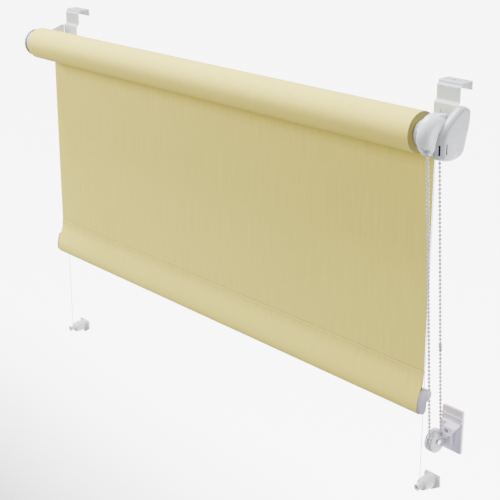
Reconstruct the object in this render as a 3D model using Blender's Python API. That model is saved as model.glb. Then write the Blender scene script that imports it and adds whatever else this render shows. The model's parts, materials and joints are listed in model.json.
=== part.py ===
"""Chain-operated roller blind that hooks over the top of a window sash.

Frame: metres, +Z up, +Y into the window. The origin is the sash's top front edge at mid-width, so
the sash fills y > 0, z < 0. Shapes on the roller are given from the roller's axis.
"""

import math

import bmesh
import bpy
from mathutils import Matrix, Vector

# ---- driving dimensions ------------------------------------------------------------------------
GAP = 0.0003  # between pieces that touch
FABRIC_WIDTH = 0.570
FABRIC_T = 0.00055
ROLL_R = 0.0175  # outside of the wound fabric
SEAM_DROP = 0.219  # roller axis to the hem seam
HEM_HEIGHT = 0.0406
RAIL_HEIGHT = 0.0225  # the rail fills the bottom of the hem pocket
RAIL_WALL = 0.0009
RAIL_CAP_T = 0.0030

TUBE_R = 0.0095
TUBE_WALL = 0.001
TUBE_INSET = 0.002  # the tube ends this far inside the fabric's edge
TAPE_T = 0.0002

HOOK_INSET = 0.0185  # inner edge of the hook, inside the fabric's edge
HOOK_WIDTH = 0.0243
HOOK_T = 0.0012
SASH_DEPTH = 0.0126  # sash rebate that the hook grips
LIP_HEIGHT = 0.008
PAD_T = 0.0015  # foam between strap and sash

AXIS_Y = -0.043  # roller axis in front of the sash face
AXIS_Z = -0.0348  # roller axis below the sash's top

AXLE_R = 0.003
FLANGE_LAP = 0.0007  # the plugs' flanges cover the end of the wound fabric
PLUG_FLANGE_T = 0.002
DRIVE_TEETH = 10
TOOTH_LENGTH = 0.003
TOOTH_DEPTH = 0.0034

HOUSING_R = 0.018
HOUSING_WALL = 0.0013
HOUSING_CLEARANCE = 0.0029  # from the drive teeth to the clutch housing
HOUSING_BULGE = 0.0029  # the drum's round face in front of the outer cover
CAVITY_CLEARANCE = 0.0021  # round the beads on the chain wheel
COVER_DEPTH = 0.0072
COVER_WALL = 0.0015
COVER_NOSE = 0.0046  # width of the cover's sloping front edge
BACK_PLATE_T = 0.0034
BACK_PLATE_TOP = 0.005
BACK_PLATE_BOTTOM = -0.019
BACK_PLATE_LAP = 0.0040  # past the hook's inner edge

CHAIN_D = 0.0026
CHAIN_R = 0.0078  # pitch radius of sprocket and pulley
PULLEY_Y = 0.0226
PULLEY_Z = -0.2836
WHEEL_WIDTH = 0.0048
WHEEL_CLEARANCE = 0.0004
AXLE_HEAD_T = 0.0008
CONNECTOR_DOWN = 0.195  # along the rear strand from the sprocket
CONNECTOR_LENGTH = 0.009
PULLEY_AXLE_R = 0.0017

CHEEK_CLEARANCE = 0.0036  # from the idle plug to the bracket's cheek
CHEEK_T = 0.0024
CHEEK_R = 0.014
IDLE_COVER_R = 0.0155
IDLE_COVER_DEPTH = 0.003
PIN_R = 0.0022

LINE_INSET = 0.0030  # inside the fabric's edge
LINE_BEHIND = 0.004925  # behind the hanging sheet
LINE_D = 0.0007
ANCHOR_Z = -0.014
ANCHOR_R = 0.0015

HOLDER_INSET = 0.0063  # inner edge of the holder, inside the chain
HOLDER_WIDTH = 0.0225
HOLDER_TOP = -0.256
HOLDER_HEIGHT = 0.042
HOLDER_T = 0.0025
HOLDER_PAD_T = 0.001

CLIP_Z = {"left": -0.365, "right": -0.337}
CLIP_PLATE_T = 0.0017
CLIP_PAD_T = 0.0008
CLIP_SPIGOT_R = 0.0029
CLIP_CONE_R = 0.0066
KNOB_LENGTH = 0.0032

SCREW_R = 0.0015
SCREW_HEAD_R = 0.0028
SCREW_Z = -0.007
SMOOTH_ANGLE = math.radians(35)

# ---- dimensions that follow --------------------------------------------------------------------
HALF = FABRIC_WIDTH / 2
TUBE_BORE = TUBE_R - TUBE_WALL
TUBE_END = HALF - TUBE_INSET
PLUG_R = TUBE_BORE - GAP
AXLE_BORE = AXLE_R + 0.0004
FLANGE_X = HALF + GAP
ROLL_BORE = TUBE_R + GAP + TAPE_T + GAP
SHEET_Y = ROLL_R + GAP + FABRIC_T / 2
SASH_Y = -AXIS_Y
HOOK_TOP = -AXIS_Z + HOOK_T
STRAP_Y = SASH_Y - PAD_T - GAP - HOOK_T  # front of the upper strap
LOWER_Y = STRAP_Y - 0.0031  # front of the lower strap
PLATE_REAR = LOWER_Y - GAP
PLATE_FRONT = PLATE_REAR - BACK_PLATE_T
HOOK_INNER_X = HALF - HOOK_INSET
HOOK_MID_X = HOOK_INNER_X + HOOK_WIDTH / 2
BACK_PLATE_INNER_X = HOOK_INNER_X - BACK_PLATE_LAP
PLUG_FLANGE_R = ROLL_BORE + FLANGE_LAP
FLANGE_END = FLANGE_X + PLUG_FLANGE_T
TOOTH_BORE = PLUG_FLANGE_R - TOOTH_DEPTH
HOUSING_X = FLANGE_END + TOOTH_LENGTH + HOUSING_CLEARANCE  # inner face of the clutch housing
CHAIN_X = HOUSING_X + HOUSING_WALL + WHEEL_CLEARANCE + WHEEL_WIDTH / 2
AXLE_HEAD_X = CHAIN_X + WHEEL_WIDTH / 2 + GAP
HOUSING_END = AXLE_HEAD_X + AXLE_HEAD_T
CAVITY_R = CHAIN_R + CHAIN_D / 2 + CAVITY_CLEARANCE
COVER_X = HOUSING_END + GAP
CHEEK_X = FLANGE_END + CHEEK_CLEARANCE  # inner face of the idle bracket's cheek
CHEEK_END = CHEEK_X + CHEEK_T
LINE_X = HALF - LINE_INSET
LINE_Y = SHEET_Y + LINE_BEHIND
HOLDER_LOW_X = CHAIN_X - HOLDER_INSET
SEAM_Z = -SEAM_DROP
HEM_BOTTOM = SEAM_Z - HEM_HEIGHT
RAIL_TOP = HEM_BOTTOM + RAIL_HEIGHT
COVER_END = COVER_X + COVER_DEPTH
WHEEL_GROOVE_R = CHAIN_R - CHAIN_D / 2 - 0.00035
WHEEL_RIM_R = CHAIN_R + 0.0011
CHANNEL = CHAIN_D / 2 + 0.0006  # half-width of a slot that the chain runs in
HOLDER_FRONT = SASH_Y - HOLDER_PAD_T - GAP - HOLDER_T
CLIP_FRONT = SASH_Y - CLIP_PAD_T - GAP - CLIP_PLATE_T


# ---- materials ---------------------------------------------------------------------------------
def material(name, colour, roughness, metallic=0.0):
    made = bpy.data.materials.new(name)
    made.use_nodes = True
    shader = made.node_tree.nodes["Principled BSDF"]
    shader.inputs["Base Color"].default_value = (*colour, 1)
    shader.inputs["Roughness"].default_value = roughness
    shader.inputs["Metallic"].default_value = metallic
    return made


def make_materials():
    return {
        "fabric": material("fabric", (0.66, 0.58, 0.34), 0.85),
        "tube": material("tube", (0.80, 0.81, 0.82), 0.35, 1.0),
        "steel": material("steel", (0.62, 0.63, 0.65), 0.3, 1.0),
        "painted": material("painted", (0.74, 0.75, 0.76), 0.4),
        "white": material("white", (0.82, 0.83, 0.84), 0.4),
        "cap": material("cap", (0.60, 0.61, 0.64), 0.45),
        "foam": material("foam", (0.85, 0.85, 0.84), 0.9),
        "bead": material("bead", (0.78, 0.78, 0.78), 0.35),
        "holder": material("holder", (0.74, 0.73, 0.80), 0.35),
        "clear": material("clear", (0.86, 0.86, 0.88), 0.2),
        "line": material("line", (0.85, 0.86, 0.86), 0.2),
    }


# ---- shape helpers: every one works from the roller's axis --------------------------------------
def at(x, y, z):
    """World place of a point given from the roller's axis."""
    return Vector((x, AXIS_Y + y, AXIS_Z + z))


def finish(name, shape, origin, look, smooth=True):
    """Object from a bmesh in axis coordinates, with its origin at `origin` (also from the axis)."""
    bmesh.ops.translate(shape, verts=shape.verts, vec=-Vector(origin))
    bmesh.ops.remove_doubles(shape, verts=shape.verts, dist=1e-6)
    bmesh.ops.recalc_face_normals(shape, faces=shape.faces)
    mesh = bpy.data.meshes.new(name)
    shape.to_mesh(mesh)
    shape.free()
    if smooth:
        mesh.shade_smooth()
        mesh.set_sharp_from_angle(angle=SMOOTH_ANGLE)
    made = bpy.data.objects.new(name, mesh)
    made.location = at(*origin)
    if look is not None:
        made.data.materials.append(look)
    bpy.context.collection.objects.link(made)
    return made


def turned(profile, centre=(0, 0, 0), steps=40, axis="X", closed=True):
    """Bmesh of a profile of (along, radius) points turned about an axis. Radius 0 makes a pole."""
    shape = bmesh.new()
    turn = [math.tau * k / steps for k in range(steps)]
    rings = []
    for along, radius in profile:
        spots = turn if radius > 0 else [0.0]
        ring = []
        for angle in spots:
            a, b = radius * math.cos(angle), radius * math.sin(angle)
            spot = (along, a, b) if axis == "X" else (a, along, b)
            ring.append(shape.verts.new(Vector(centre) + Vector(spot)))
        rings.append(ring)
    pairs = list(zip(rings, rings[1:]))
    if closed:
        pairs.append((rings[-1], rings[0]))
    for one, two in pairs:
        if len(one) == 1 and len(two) == 1:
            continue
        for k in range(steps):
            n = (k + 1) % steps
            corners = [one[k % len(one)], one[n % len(one)], two[n % len(two)], two[k % len(two)]]
            shape.faces.new(list(dict.fromkeys(corners)))
    return shape


def solid_of_turn(profile, **options):
    """A turned solid whose profile starts and ends on the axis."""
    ends = [(profile[0][0], 0.0), *profile, (profile[-1][0], 0.0)]
    return turned(ends, closed=False, **options)


def prism(outline, low, high, axis="X"):
    """Bmesh of an outline pushed along an axis: (y, z) along X, (x, z) along Y, (x, y) along Z."""
    shape = bmesh.new()

    def spot(u, v, along):
        return {"X": (along, u, v), "Y": (u, along, v), "Z": (u, v, along)}[axis]

    start = [shape.verts.new(spot(u, v, low)) for u, v in outline]
    end = [shape.verts.new(spot(u, v, high)) for u, v in outline]
    count = len(outline)
    shape.faces.new(start)
    shape.faces.new(list(reversed(end)))
    for k in range(count):
        n = (k + 1) % count
        shape.faces.new((start[n], start[k], end[k], end[n]))
    return shape


def ring_prism(outer, inner, low, high):
    """Prism along X between two outlines that have the same number of points."""
    shape = bmesh.new()
    rows = []
    for x in (low, high):
        for outline in (outer, inner):
            rows.append([shape.verts.new((x, y, z)) for y, z in outline])
    out_low, in_low, out_high, in_high = rows
    count = len(outer)
    for one, two in ((out_low, in_low), (in_high, out_high), (out_high, out_low), (in_low, in_high)):
        for k in range(count):
            n = (k + 1) % count
            shape.faces.new((one[k], one[n], two[n], two[k]))
    return shape


def block(low, high):
    outline = [(low[1], low[2]), (high[1], low[2]), (high[1], high[2]), (low[1], high[2])]
    return prism(outline, low[0], high[0])


def circle(radius, centre=(0.0, 0.0), steps=40, start=0.0, sweep=math.tau):
    count = steps if sweep == math.tau else steps + 1
    angles = [start + sweep * k / steps for k in range(count)]
    return [(centre[0] + radius * math.cos(a), centre[1] + radius * math.sin(a)) for a in angles]


def rounded(points, radius, steps=4, closed=False):
    """The path with an arc of this radius in each corner, smaller where a side is short."""
    spots = [Vector(p) for p in points]
    count = len(spots)
    result = []
    for k, corner in enumerate(spots):
        if not closed and k in (0, count - 1):
            result.append(tuple(corner))
            continue
        before = spots[k - 1] - corner
        after = spots[(k + 1) % count] - corner
        half = before.angle(after) / 2
        reach = min(radius / math.tan(half), 0.45 * before.length, 0.45 * after.length)
        arc = reach * math.tan(half)
        middle = (before.normalized() + after.normalized()).normalized()
        centre = corner + middle * (arc / math.sin(half))
        first = corner + before.normalized() * reach - centre
        last = corner + after.normalized() * reach - centre
        turn = first.angle_signed(last)
        for n in range(steps + 1):
            angle = -turn * n / steps
            cos, sin = math.cos(angle), math.sin(angle)
            spot = Vector((first.x * cos - first.y * sin, first.x * sin + first.y * cos))
            result.append(tuple(centre + spot))
    return result


def strip(path, thickness):
    """Closed outline of a sheet-metal strip: the path is one face, the other lies to its left."""
    spots = [Vector(p) for p in path]
    normals = []
    for one, two in zip(spots, spots[1:]):
        along = (two - one).normalized()
        normals.append(Vector((-along.y, along.x)))
    other = []
    for k, spot in enumerate(spots):
        sides = normals[max(k - 1, 0) : k + 1]
        middle = sum(sides, Vector((0, 0))).normalized()
        other.append(spot + middle * (thickness / middle.dot(sides[0])))
    return [tuple(p) for p in spots] + [tuple(p) for p in reversed(other)]


def shrunk(outline, by):
    """Closed outline moved inwards; the outline runs anticlockwise."""
    spots = [Vector(p) for p in outline]
    result = []
    for k, spot in enumerate(spots):
        one = (spot - spots[k - 1]).normalized()
        two = (spots[(k + 1) % len(spots)] - spot).normalized()
        sides = (Vector((-one.y, one.x)), Vector((-two.y, two.x)))
        middle = (sides[0] + sides[1]).normalized()
        result.append(tuple(spot + middle * (by / max(middle.dot(sides[0]), 0.3))))
    return result


def below(outline, top):
    """The part of a closed outline under a height."""
    result = []
    for one, two in zip(outline, outline[1:] + outline[:1]):
        if one[1] <= top:
            result.append(one)
        if (one[1] <= top) != (two[1] <= top):
            share = (top - one[1]) / (two[1] - one[1])
            result.append((one[0] + (two[0] - one[0]) * share, top))
    return result


def hull(points):
    """Convex solid round a few points."""
    shape = bmesh.new()
    for point in points:
        shape.verts.new(point)
    bmesh.ops.convex_hull(shape, input=shape.verts)
    return shape


def helper(name, shape, origin=(0, 0, 0)):
    """Hidden cutter or piece to be joined on."""
    made = finish(name, shape, origin, None)
    made.hide_render = True
    made.hide_set(True)
    made.display_type = "WIRE"
    return made


def boolean(target, other, operation):
    step = target.modifiers.new(f"{operation.lower()}_{other.name}", "BOOLEAN")
    step.operation = operation
    step.solver = "EXACT"
    step.object = other


def cut(target, name, shape):
    boolean(target, helper(name, shape), "DIFFERENCE")


def join(target, name, shape):
    boolean(target, helper(name, shape), "UNION")


def tube_along(name, points, diameter, look, origin, cyclic=False, sides=2):
    """Curve with a round bevel through points given from the roller's axis."""
    curve = bpy.data.curves.new(name, "CURVE")
    curve.dimensions = "3D"
    curve.bevel_depth = diameter / 2
    curve.bevel_resolution = sides
    curve.use_fill_caps = not cyclic
    spline = curve.splines.new("POLY")
    spline.points.add(len(points) - 1)
    spline.use_cyclic_u = cyclic
    for spot, point in zip(spline.points, points):
        spot.co = (*(Vector(point) - Vector(origin)), 1)
    made = bpy.data.objects.new(name, curve)
    made.location = at(*origin)
    made.data.materials.append(look)
    bpy.context.collection.objects.link(made)
    return made


def coil(radius, low, high, turns, per_turn=12):
    """Points of a helix about the roller's axis."""
    count = turns * per_turn
    spots = []
    for k in range(count + 1):
        angle = math.tau * k / per_turn
        spots.append((low + (high - low) * k / count, radius * math.cos(angle), radius * math.sin(angle)))
    return spots


# ---- the roller --------------------------------------------------------------------------------
def make_roller(looks):
    tube = [(-TUBE_END, TUBE_BORE), (-TUBE_END, TUBE_R), (TUBE_END, TUBE_R), (TUBE_END, TUBE_BORE)]
    finish("tube", turned(tube), (0, 0, 0), looks["tube"])
    roll = [(-HALF, ROLL_BORE), (-HALF, ROLL_R), (HALF, ROLL_R), (HALF, ROLL_BORE)]
    finish("fabric_roll", turned(roll, steps=56), (0, 0, 0), looks["fabric"])
    tape_low = TUBE_R + GAP
    arc = {"start": math.radians(200), "sweep": math.radians(40), "steps": 6}
    outline = circle(tape_low, **arc) + circle(tape_low + TAPE_T, **arc)[::-1]
    finish("tube_tape", prism(outline, -TUBE_END, TUBE_END), (0, 0, 0), looks["foam"])


def make_drive_plug(looks):
    inner_end = TUBE_END - 0.025
    pocket_r = AXLE_R + 0.0022
    profile = [
        (inner_end, AXLE_BORE),
        (inner_end, PLUG_R - 0.0006),
        (inner_end + 0.0012, PLUG_R),
        (FLANGE_X, PLUG_R),
        (FLANGE_X, PLUG_FLANGE_R),
        (FLANGE_END, PLUG_FLANGE_R),
        (FLANGE_END, pocket_r),
        (FLANGE_END - 0.012, pocket_r),
        (FLANGE_END - 0.012, AXLE_BORE),
    ]
    plug = finish("drive_plug", turned(profile), (0, 0, 0), looks["white"])
    pitch = math.tau / DRIVE_TEETH
    for k in range(DRIVE_TEETH):
        arc = {"start": k * pitch, "sweep": pitch / 2, "steps": 3}
        outline = circle(PLUG_FLANGE_R - 0.0002, **arc) + circle(TOOTH_BORE, **arc)[::-1]
        tooth = prism(outline, FLANGE_END - 0.0005, FLANGE_END + TOOTH_LENGTH)
        join(plug, f"drive_tooth_{k}", tooth)
    spots = coil(AXLE_R + 0.0013, FLANGE_END - 0.0108, FLANGE_END - 0.0012, 6)
    tube_along("wrap_spring", spots, 0.001, looks["steel"], (0, 0, 0), sides=1)


def wheel_profile(bore, hub=None):
    """Chain wheel centred on the chain: rims each side of a round groove, with an optional hub."""
    half = WHEEL_WIDTH / 2
    groove = CHAIN_D / 2 + 0.00035
    arc = [
        (groove * math.cos(math.pi - math.pi * k / 6), CHAIN_R - groove * math.sin(math.pi * k / 6))
        for k in range(7)
    ]
    profile = [(-half, bore), (-half, WHEEL_RIM_R), (-groove, WHEEL_RIM_R), *arc]
    profile += [(groove, WHEEL_RIM_R), (half, WHEEL_RIM_R), (half, bore)]
    if hub is not None:
        hub_r, hub_start = hub
        profile = [(hub_start, bore), (hub_start, hub_r), (-half, hub_r), *profile[1:]]
    return profile


def make_clutch(looks):
    hub_start = FLANGE_END + GAP - CHAIN_X
    hub_r = TOOTH_BORE - GAP
    wheel = turned(wheel_profile(AXLE_BORE, (hub_r, hub_start)), centre=(CHAIN_X, 0, 0), steps=48)
    finish("chain_sprocket", wheel, (CHAIN_X, 0, 0), looks["white"])

    axle = [
        (TUBE_END - 0.021, AXLE_R - 0.0004),
        (TUBE_END - 0.0206, AXLE_R),
        (AXLE_HEAD_X, AXLE_R),
        (AXLE_HEAD_X, AXLE_R + 0.0020),
        (HOUSING_END, AXLE_R + 0.0020),
    ]
    finish("clutch_axle", solid_of_turn(axle, steps=24), (0, 0, 0), looks["white"])


def arm_outline(top_rear):
    """Side view of a bracket's arm, from the roller's axis back to the sash plate."""
    return [
        (0.0, 0.0008 - HOUSING_R),
        (PLATE_REAR, BACK_PLATE_BOTTOM),
        (PLATE_REAR, top_rear),
        (PLATE_REAR - 0.013, top_rear + 0.006),
        (PLATE_REAR - 0.024, 0.0155),
        (0.0, HOUSING_R - 0.0008),
    ]


def make_clutch_housing(looks):
    rim = 0.0022  # rounded inner edge
    profile = [(HOUSING_X + rim * (1 - math.cos(a)), HOUSING_R - rim * (1 - math.sin(a)))
               for a in [math.radians(15 * k) for k in range(7)]]
    dome_start, dome_end = HOUSING_X + 0.0022, HOUSING_END + HOUSING_BULGE
    dome_r = 0.55 * HOUSING_R  # the dome is flat inside this
    for k in range(7):
        turn = math.pi / 2 * k / 6
        x = dome_start + (dome_end - dome_start) * math.sin(turn)
        profile.append((x, dome_r + (HOUSING_R - dome_r) * math.cos(turn)))
    drum = solid_of_turn(profile, steps=56)
    housing = finish("clutch_housing", drum, (0, 0, 0), looks["white"])
    arm = prism(rounded(arm_outline(BACK_PLATE_TOP), 0.002, closed=True), HOUSING_X + 0.0002, HOUSING_END)
    join(housing, "clutch_arm", arm)
    plate_low = (BACK_PLATE_INNER_X, PLATE_FRONT, BACK_PLATE_BOTTOM)
    join(housing, "clutch_plate", block(plate_low, (HOUSING_END - 0.001, PLATE_REAR, BACK_PLATE_TOP)))

    seat = prism(shrunk(cover_outline(), -GAP), HOUSING_END, dome_end + 0.001)
    cut(housing, "cover_seat", seat)
    cavity = [(HOUSING_X + HOUSING_WALL, CAVITY_R), (HOUSING_END + GAP, CAVITY_R)]
    cut(housing, "clutch_cavity", solid_of_turn(cavity, steps=48))
    bore_r = TOOTH_BORE + 0.0002
    bore = [(HOUSING_X - 0.001, bore_r), (HOUSING_X + HOUSING_WALL + 0.001, bore_r)]
    cut(housing, "clutch_bore", solid_of_turn(bore, steps=32))
    slot_low, slot_high = CHAIN_X - CHANNEL, CHAIN_X + CHANNEL
    channel_low = (slot_low, -CHAIN_R - 0.0024, -0.03)
    cut(housing, "chain_channel", block(channel_low, (slot_high, CHAIN_R + 0.0040, -0.003)))
    cut(housing, "chain_notch", block((slot_low, -0.02, -0.03), (slot_high, -0.005, -0.008)))
    flare_front = -CHAIN_R - CHAIN_D / 2
    flare = block((slot_high - 0.0005, -0.02, -0.03), (slot_high + 0.0030, flare_front, -0.0095))
    cut(housing, "chain_flare", flare)
    pocket_y = CHAIN_R + 0.0077
    pocket = [(pocket_y, -0.0165), (PLATE_FRONT, -0.0165), (PLATE_FRONT, 0.003), (pocket_y, 0.008)]
    cut(housing, "arm_pocket", prism(pocket, HOUSING_X + 0.002, HOUSING_END + 0.001))
    cut_screw_hole(housing, "right")


def cover_outline():
    """Side view of the outer cover, anticlockwise from its front bottom corner."""
    return [
        (-0.0040, -0.0182),
        (0.0020, -0.0208),
        (0.0130, -0.0230),
        (0.0240, -0.0208),
        (0.0290, -0.0170),
        (0.0315, -0.0100),
        (0.0338, 0.0010),
        (0.0352, 0.0150),
        (0.0320, 0.0195),
        (0.0235, 0.0212),
        (0.0160, 0.0170),
        (0.0100, 0.0127),
        (0.0040, 0.0080),
        (-0.0020, 0.0015),
        (-0.0048, -0.0060),
        (-0.0054, -0.0140),
    ]


def make_outer_cover(looks):
    """Shell with a sloping front edge, a face that folds inwards below a crease, and two grooves."""
    outline = cover_outline()
    nose_end = min(y for y, z in outline) + 2 * COVER_NOSE

    def set_back(spots, share):
        return [(max(y, y + share * COVER_NOSE * (nose_end - y) / (2 * COVER_NOSE)), z) for y, z in spots]

    layers = (
        (COVER_X, outline),
        (COVER_END - 0.0046, outline),
        (COVER_END - 0.0024, set_back(shrunk(outline, 0.0004), 0.35)),
        (COVER_END - 0.0008, set_back(shrunk(outline, 0.0011), 0.75)),
        (COVER_END, set_back(shrunk(outline, 0.0024), 1.0)),
    )
    shape = bmesh.new()
    rows = [[shape.verts.new((x, y, z)) for y, z in spots] for x, spots in layers]
    count = len(outline)
    shape.faces.new(rows[0])
    shape.faces.new(rows[-1])
    for one, two in zip(rows, rows[1:]):
        for k in range(count):
            n = (k + 1) % count
            shape.faces.new((one[k], one[n], two[n], two[k]))
    cover = finish("outer_cover", shape, (0, 0, 0), looks["white"])

    fold = 0.0014
    crease, foot = ((0.0060, -0.0045), (0.0400, 0.0040)), ((0.0100, -0.0280), (0.0440, -0.0200))
    corners = [(COVER_END, y, z) for y, z in crease]
    corners += [(COVER_END + 0.004, y, z) for y, z in (*crease, *foot)]
    corners += [(COVER_END - fold, y, z) for y, z in foot]
    cut(cover, "cover_fold", hull(corners))
    rim = prism(shrunk(outline, COVER_WALL), COVER_X - 0.001, COVER_END - 0.0050)
    cut(cover, "cover_cavity", rim)
    cut(cover, "cover_hollow", prism(shrunk(outline, 0.0062), COVER_X - 0.001, COVER_END - 2 * COVER_WALL))
    for k, (depth, y) in enumerate(((0.0044, -0.0026), (0.0022, 0.0038))):
        groove = block((COVER_END - depth, y, -0.0150), (COVER_END + 0.001, y + 0.0011, -0.0070))
        cut(cover, f"cover_groove_{k}", groove)


# ---- idle end ----------------------------------------------------------------------------------
def make_idle_end(looks):
    pin_gap = 0.0003
    shoulder_r = PIN_R + 0.0015
    bore_r = shoulder_r + 0.0004
    outer_wall = TUBE_END - 0.0002
    inner_end = TUBE_END - 0.021
    stem_r = PIN_R - 0.0006
    plug = [
        (-FLANGE_END, PIN_R + pin_gap),
        (-FLANGE_END, PLUG_FLANGE_R),
        (-FLANGE_X, PLUG_FLANGE_R),
        (-FLANGE_X, PLUG_R),
        (-inner_end, PLUG_R),
        (-inner_end, stem_r + pin_gap),
        (-inner_end - 0.006, stem_r + pin_gap),
        (-inner_end - 0.006, bore_r),
        (-outer_wall, bore_r),
        (-outer_wall, PIN_R + pin_gap),
    ]
    finish("idle_plug", turned(plug), (0, 0, 0), looks["white"])
    shoulder = -outer_wall + GAP + 0.0004
    pin_end = -CHEEK_END + 0.0003
    stem_end = -inner_end - 0.002
    pin = [
        (pin_end, PIN_R - 0.0006),
        (pin_end + 0.0006, PIN_R),
        (shoulder, PIN_R),
        (shoulder, shoulder_r),
        (shoulder + 0.0017, shoulder_r),
        (shoulder + 0.0017, stem_r),
        (stem_end, stem_r),
    ]
    finish("idle_pin", solid_of_turn(pin, steps=24), (0, 0, 0), looks["steel"])
    spring_low = shoulder + 0.0017 + 0.0007
    spring_high = -inner_end - 0.006 - 0.0007
    spots = coil(stem_r + 0.001, spring_low, spring_high, 5)
    tube_along("idle_spring", spots, 0.0007, looks["steel"], (0, 0, 0), sides=1)


def make_idle_bracket(looks):
    outline = [
        (0.0, -0.012),
        (PLATE_REAR, BACK_PLATE_BOTTOM),
        (PLATE_REAR, 0.0183),
        (0.018, 0.012),
        (0.0, 0.012),
    ]
    cheek = prism(rounded(outline, 0.0015, closed=True), -CHEEK_END, -CHEEK_X)
    bracket = finish("idle_bracket", cheek, (0, 0, 0), looks["white"])
    disc = [(-CHEEK_END, CHEEK_R), (-CHEEK_X, CHEEK_R)]
    join(bracket, "cheek_disc", solid_of_turn(disc, steps=48))
    low = (-CHEEK_END + 0.0005, PLATE_FRONT, BACK_PLATE_BOTTOM)
    join(bracket, "idle_plate", block(low, (-BACK_PLATE_INNER_X, PLATE_REAR, BACK_PLATE_TOP)))
    bore = [(-CHEEK_END - 0.001, PIN_R + 0.0003), (-CHEEK_X + 0.001, PIN_R + 0.0003)]
    cut(bracket, "idle_bore", solid_of_turn(bore, steps=24))
    cut_screw_hole(bracket, "left")

    low_x = -CHEEK_END - GAP
    end = low_x - IDLE_COVER_DEPTH
    cap = [
        (low_x, IDLE_COVER_R - 0.0013),
        (low_x, IDLE_COVER_R),
        (end + 0.0012, IDLE_COVER_R),
        (end + 0.0003, IDLE_COVER_R - 0.0006),
        (end, IDLE_COVER_R - 0.0018),
        (end, 0.0),
        (end + 0.0012, 0.0),
        (end + 0.0012, IDLE_COVER_R - 0.0013),
    ]
    finish("idle_cover", turned(cap, steps=48, closed=True), (0, 0, 0), looks["cap"])


# ---- sash hooks --------------------------------------------------------------------------------
def cut_screw_hole(target, side):
    """Clearance hole for the screw that holds a plastic bracket to its hook."""
    x = HOOK_MID_X if side == "right" else -HOOK_MID_X
    drill = [(PLATE_FRONT - 0.004, SCREW_R + 0.0003), (LOWER_Y + HOOK_T + 0.002, SCREW_R + 0.0003)]
    drill_shape = solid_of_turn(drill, centre=(x, 0, SCREW_Z), steps=20, axis="Y")
    cut(target, f"{target.name}_screw_hole", drill_shape)


def make_hook(side, looks):
    """Bent strip: rear lip, top plate, recess, strap, forward step and lower plate."""
    sign = 1 if side == "right" else -1
    low, high = sorted((sign * HOOK_INNER_X, sign * (HOOK_INNER_X + HOOK_WIDTH)))
    corner_y = SASH_Y - HOOK_T - 0.0001
    lip_y = SASH_Y + SASH_DEPTH + HOOK_T
    path = [
        (lip_y, HOOK_TOP - LIP_HEIGHT),
        (lip_y, HOOK_TOP),
        (corner_y, HOOK_TOP),
        (corner_y, HOOK_TOP - 0.0028),
        (STRAP_Y, HOOK_TOP - 0.0040),
        (STRAP_Y, HOOK_TOP - 0.0168),
        (LOWER_Y, HOOK_TOP - 0.0186),
        (LOWER_Y, -0.012),
    ]
    outline = strip(rounded(path, 0.0016, steps=4), HOOK_T)
    hook = finish(f"{side}_hook", prism(outline, low, high), (0, 0, 0), looks["painted"])
    middle = sign * HOOK_MID_X
    top_hole = solid_of_turn([(HOOK_TOP - 0.004, 0.0018), (HOOK_TOP + 0.002, 0.0018)], steps=20)
    turn_up(top_hole, (middle, SASH_Y + 0.0045))
    cut(hook, f"{side}_top_hole", top_hole)
    recess_low = (middle - 0.0053, LOWER_Y - 0.001, 0.0085)
    recess_high = (middle + 0.0053, LOWER_Y + HOOK_T / 2, 0.0120)
    cut(hook, f"{side}_recess", block(recess_low, recess_high))
    cut_screw_hole(hook, side)

    pad_low = (low + 0.002, STRAP_Y + HOOK_T + GAP, HOOK_TOP - 0.0155)
    pad = block(pad_low, (high - 0.002, SASH_Y, HOOK_TOP - 0.0055))
    finish(f"{side}_hook_pad", pad, (0, 0, 0), looks["foam"], smooth=False)

    head_top = PLATE_FRONT - GAP
    nut_low = LOWER_Y + HOOK_T + GAP
    nut_high = nut_low + 0.002
    screw = [
        (head_top - 0.0016, SCREW_HEAD_R - 0.0008),
        (head_top - 0.0010, SCREW_HEAD_R - 0.0002),
        (head_top, SCREW_HEAD_R),
        (head_top, SCREW_R),
        (nut_high + 0.0002, SCREW_R),
    ]
    shank = solid_of_turn(screw, centre=(middle, 0, SCREW_Z), steps=20, axis="Y")
    finish(f"{side}_bracket_screw", shank, (middle, head_top, SCREW_Z), looks["steel"])
    bore = SCREW_R + GAP
    nut = [(nut_low, bore), (nut_high, bore), (nut_high, SCREW_HEAD_R), (nut_low, SCREW_HEAD_R)]
    nut_shape = turned(nut, centre=(middle, 0, SCREW_Z), steps=6, axis="Y")
    finish(f"{side}_bracket_nut", nut_shape, (middle, nut_low, SCREW_Z), looks["steel"], smooth=False)


def turn_up(shape, place):
    """Turns a bmesh made along X to stand along Z at an (x, y) place."""
    for vert in shape.verts:
        along, a, b = vert.co
        vert.co = (place[0] + a, place[1] + b, along)
    bmesh.ops.recalc_face_normals(shape, faces=shape.faces)


# ---- hanging fabric and bottom rail --------------------------------------------------------------
def hem_outline():
    """Cross-section of the sewn hem pocket, anticlockwise from the seam's front."""
    front = [
        (-FABRIC_T, 0.0),
        (-0.0016, 0.22),
        (-0.0046, 0.44),
        (-0.0072, 0.64),
        (-0.0082, 0.80),
        (-0.0076, 0.92),
        (-0.0052, 0.985),
        (-0.0020, 1.0),
    ]
    rear = [(0.0009, 0.95), (0.0018, 0.80), (0.0008, 0.62), (-0.0012, 0.44), (-0.0002, 0.22), (FABRIC_T, 0.0)]
    outline = [(SHEET_Y + y, SEAM_Z - share * HEM_HEIGHT) for y, share in front + rear]
    outline[0] = (outline[0][0], SEAM_Z - GAP)
    outline[-1] = (outline[-1][0], SEAM_Z - GAP)
    return outline


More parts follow.
